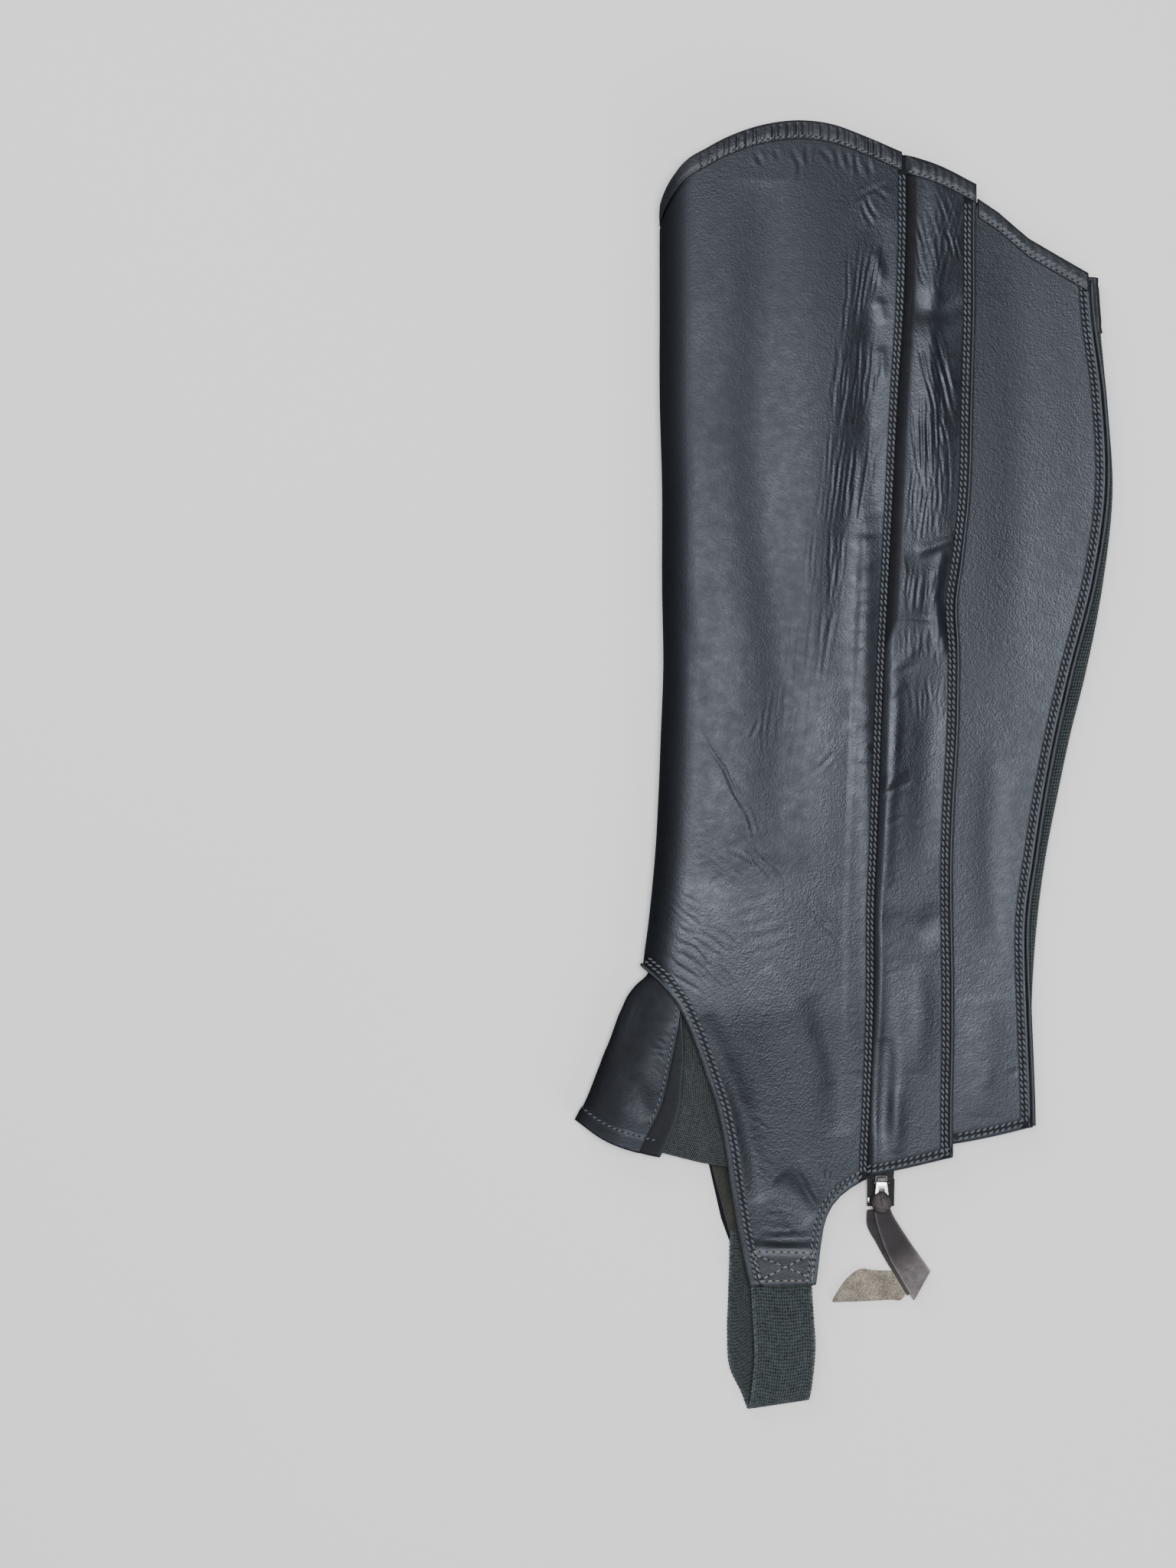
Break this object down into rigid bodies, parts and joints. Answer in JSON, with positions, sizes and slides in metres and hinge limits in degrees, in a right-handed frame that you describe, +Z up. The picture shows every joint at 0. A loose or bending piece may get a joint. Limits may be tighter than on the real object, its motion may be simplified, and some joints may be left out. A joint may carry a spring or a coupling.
{
  "type": "leather half chap laid flat",
  "caption": "Leather half chap laid flat on its inner side, with a zip flap, elastic calf panel, instep tongue and a stirrup strap under the foot.",
  "frame": {"origin": "middle of the underside, on the surface that the half chap lies on", "axes": "+Y up the leg, from the stirrup strap to the top edge; +X from the shin to the calf; +Z up from the surface"},
  "size_m": [0.229, 0.547, 0.0213],
  "materials": {
    "black_leather": "smooth semi-gloss grain",
    "binding_leather": "soft matt grain",
    "ribbed_elastic": "ribbed weave",
    "zip_tape": "woven",
    "dark_metal": "satin",
    "bright_metal": "worn satin",
    "lace_leather": "dull grain",
    "suede": "napped flesh side"
  },
  "bodies": {
    "chap": {"main_panel": "black_leather", "inner_panel": "black_leather", "flap": "black_leather", "side_panel": "black_leather", "elastic_panel": "ribbed_elastic", "cap_top": "black_leather", "cap_bottom": "black_leather", "main_binding": "binding_leather", "flap_binding": "binding_leather", "side_binding": "binding_leather", "elastic_piping": "black_leather", "zip_tape": "zip_tape", "zip_slider": "dark_metal", "instep_panel": "black_leather", "instep_facing": "binding_leather", "gusset_outer": "ribbed_elastic", "gusset_inner": "ribbed_elastic", "stirrup_strap": "ribbed_elastic"},
    "pull": {"zip_pull": "bright_metal", "lace_knot": "lace_leather", "lace_front": "lace_leather", "lace_back": "lace_leather", "lace_tail": "suede"}
  },
  "joints": [
    {"name": "pull_turn", "type": "hinge", "parent": "chap", "child": "pull", "pos_m": [0.01556, -0.17628, 0.00916], "axis": [-1, 0, 0], "range_deg": [0, 90]}
  ]
}
